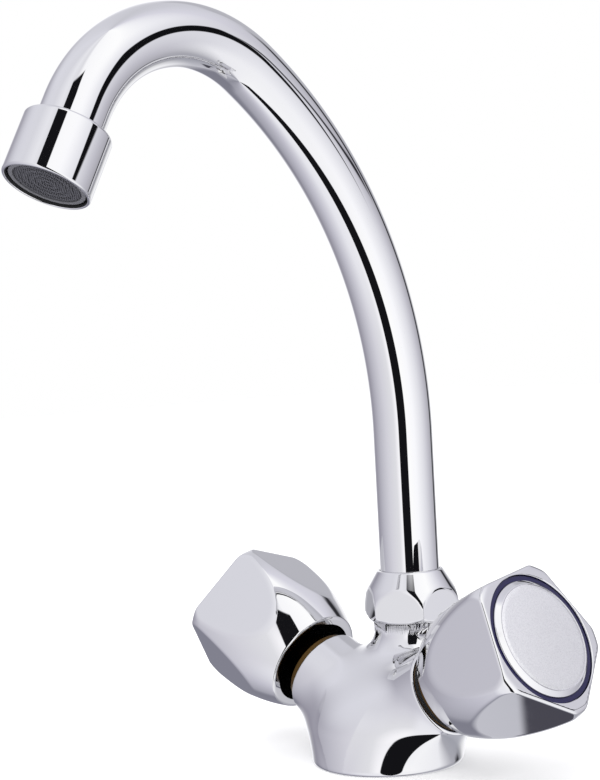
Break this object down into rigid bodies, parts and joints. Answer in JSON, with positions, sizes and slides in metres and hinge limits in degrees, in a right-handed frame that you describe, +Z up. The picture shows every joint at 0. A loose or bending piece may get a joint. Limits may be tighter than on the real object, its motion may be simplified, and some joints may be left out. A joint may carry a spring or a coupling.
{
  "type": "kitchen faucet",
  "caption": "Deck-mounted mixer tap with a round flared body, a pair of tilted five-sided knobs and a tall swivelling gooseneck spout with an aerator.",
  "frame": {"origin": "centre of the round foot, on the deck face that it stands on", "axes": "+Z up, -Y towards the sink and the user, where the spout reaches over at rest, +X towards the cold knob"},
  "size_m": [0.1601, 0.1684, 0.2446],
  "materials": {
    "chrome_plate": "polished mirror plating",
    "frosted_silver": "frosted fine-grained silver face, polished edge",
    "blue_ring": "glossy moulded",
    "red_ring": "glossy moulded",
    "bare_brass": "machined",
    "stainless_steel": "machined",
    "black_rubber": "matt moulded",
    "white_acetal": "moulded",
    "disc_ceramic": "lapped"
  },
  "bodies": {
    "tap_body": {"body_casting": "chrome_plate", "base_seal": "black_rubber", "spout_nut": "chrome_plate", "slip_ring_lower": "white_acetal", "slip_ring_upper": "white_acetal", "hot_valve_housing": "bare_brass", "hot_housing_seal": "black_rubber", "hot_seat_seal": "black_rubber", "hot_fixed_disc": "disc_ceramic", "cold_valve_housing": "bare_brass", "cold_housing_seal": "black_rubber", "cold_seat_seal": "black_rubber", "cold_fixed_disc": "disc_ceramic"},
    "hot_control": {"hot_moving_disc": "disc_ceramic", "hot_spindle": "bare_brass", "hot_spindle_o_rings": "black_rubber", "hot_slide_washer": "white_acetal", "hot_spindle_circlip": "stainless_steel", "hot_handle": "chrome_plate", "hot_index_ring": "red_ring", "hot_index_cap": "frosted_silver", "hot_handle_screw": "stainless_steel"},
    "cold_control": {"cold_moving_disc": "disc_ceramic", "cold_spindle": "bare_brass", "cold_spindle_o_rings": "black_rubber", "cold_slide_washer": "white_acetal", "cold_spindle_circlip": "stainless_steel", "cold_handle": "chrome_plate", "cold_index_ring": "blue_ring", "cold_index_cap": "frosted_silver", "cold_handle_screw": "stainless_steel"},
    "swivel_spout": {"spout_tube": "chrome_plate", "spout_ferrule": "bare_brass", "spout_o_rings": "black_rubber", "outlet_sleeve": "bare_brass", "aerator_housing": "chrome_plate", "aerator_washer": "black_rubber", "aerator_core": "white_acetal", "aerator_screen": "stainless_steel"}
  },
  "joints": [
    {"name": "spout_swivel", "type": "hinge", "parent": "tap_body", "child": "swivel_spout", "pos_m": [0, 0.015, 0.0573], "axis": [0, 0, 1], "continuous": true},
    {"name": "hot_handle_turn", "type": "hinge", "parent": "tap_body", "child": "hot_control", "pos_m": [0, 0, 0.012], "axis": [-0.891, 0, 0.454], "range_deg": [0, 180]},
    {"name": "cold_handle_turn", "type": "hinge", "parent": "tap_body", "child": "cold_control", "pos_m": [0, 0, 0.012], "axis": [0.891, 0, 0.454], "range_deg": [0, 180]}
  ]
}
